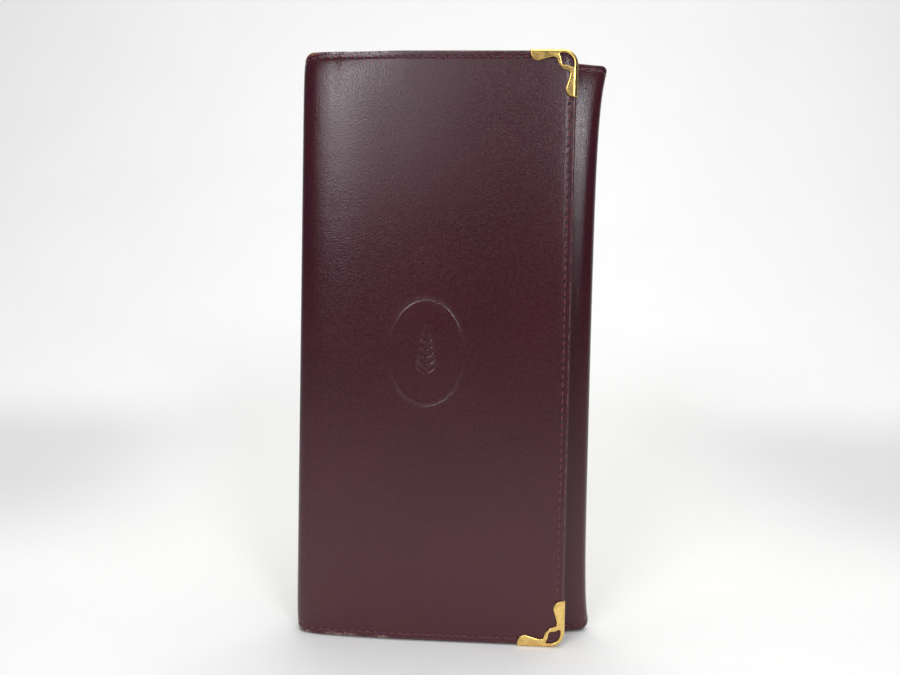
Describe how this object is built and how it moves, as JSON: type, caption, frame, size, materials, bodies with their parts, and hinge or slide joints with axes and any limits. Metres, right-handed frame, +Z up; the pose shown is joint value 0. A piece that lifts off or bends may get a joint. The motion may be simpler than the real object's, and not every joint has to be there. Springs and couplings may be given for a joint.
{
  "type": "wallet",
  "caption": "Long burgundy leather wallet with a front cover hinged on a rounded spine, openwork brass corner guards, card slots and a zipped coin purse.",
  "frame": {"origin": "under the middle of the wallet, on the surface that its short end stands on", "axes": "+X from the spine to the folded edge, +Y from the cover to the back, +Z up along the long side"},
  "size_m": [0.0924, 0.0192, 0.18],
  "materials": {
    "leather_burgundy": "smooth glazed calf, satin",
    "leather_inner": "thin smooth calf, satin",
    "board": "plain",
    "thread": "waxed thread",
    "brass": "polished, lightly worn",
    "zip_tape": "woven tape",
    "purse_cloth": "fine cotton"
  },
  "bodies": {
    "back": {"back_leather": "leather_burgundy", "back_board": "board", "back_lining": "leather_inner", "back_stitching": "thread", "gusset_rear_top": "leather_inner", "gusset_rear_bottom": "leather_inner"},
    "spine": {"spine_leather": "leather_burgundy", "spine_lining": "leather_inner"},
    "cover": {"cover_leather": "leather_burgundy", "cover_board": "board", "cover_lining": "leather_inner", "cover_slip_pocket": "leather_inner", "card_slot_front": "leather_inner", "card_slot_middle": "leather_inner", "card_slot_rear": "leather_inner", "card_slot_stitching": "thread", "cover_stitching": "thread", "corner_guard_top": "brass", "corner_guard_bottom": "brass"},
    "front_wall": {"front_leather": "leather_burgundy", "front_lining": "leather_inner", "front_stitching": "thread", "front_pocket": "leather_inner", "front_pocket_stitching": "thread", "gusset_front_top": "leather_inner", "gusset_front_bottom": "leather_inner"},
    "coin_purse": {"purse_rear_wall": "leather_inner", "purse_front_wall": "leather_inner", "purse_lining": "purse_cloth", "zip_tape_rear": "zip_tape", "zip_tape_front": "zip_tape", "zip_teeth_rear": "brass", "zip_teeth_front": "brass", "zip_stops": "brass"},
    "slider": {"zip_slider": "brass"},
    "puller": {"zip_puller": "brass"}
  },
  "joints": [
    {"name": "spine_fold_rear", "type": "hinge", "parent": "back", "child": "spine", "pos_m": [-0.04493, 0.00853, 0.09], "axis": [0, 0, -1], "range_deg": [-1.8, 88.2]},
    {"name": "spine_fold_front", "type": "hinge", "parent": "spine", "child": "cover", "pos_m": [-0.04529, -0.00292, 0.09], "axis": [0, 0, -1], "range_deg": [-1.8, 88.2]},
    {"name": "front_wall_opens", "type": "hinge", "parent": "back", "child": "front_wall", "pos_m": [0.0462, 0.00525, 0.09], "axis": [0, 0, 1], "range_deg": [-0.36, 17.64], "deforming": ["gusset_front_top", "gusset_front_bottom"]},
    {"name": "coin_purse_opens", "type": "hinge", "parent": "back", "child": "coin_purse", "pos_m": [0.0462, 0.00525, 0.09], "axis": [0, 0, 1], "range_deg": [-0.18, 8.82], "deforming": ["gusset_rear_top", "gusset_rear_bottom"]},
    {"name": "zip_slides", "type": "slide", "parent": "coin_purse", "child": "slider", "axis": [0, 0, 1], "range_m": [0, 0.14]},
    {"name": "puller_swings", "type": "hinge", "parent": "slider", "child": "puller", "pos_m": [-0.039, 0.00463, 0.02265], "axis": [-0.0031, 1, 0], "range_deg": [0, 16]}
  ],
  "couplings": [
    {"joint": "spine_fold_front", "follows": "spine_fold_rear", "ratio": 1},
    {"joint": "front_wall_opens", "follows": "spine_fold_rear", "ratio": 0.2},
    {"joint": "coin_purse_opens", "follows": "spine_fold_rear", "ratio": 0.1}
  ]
}
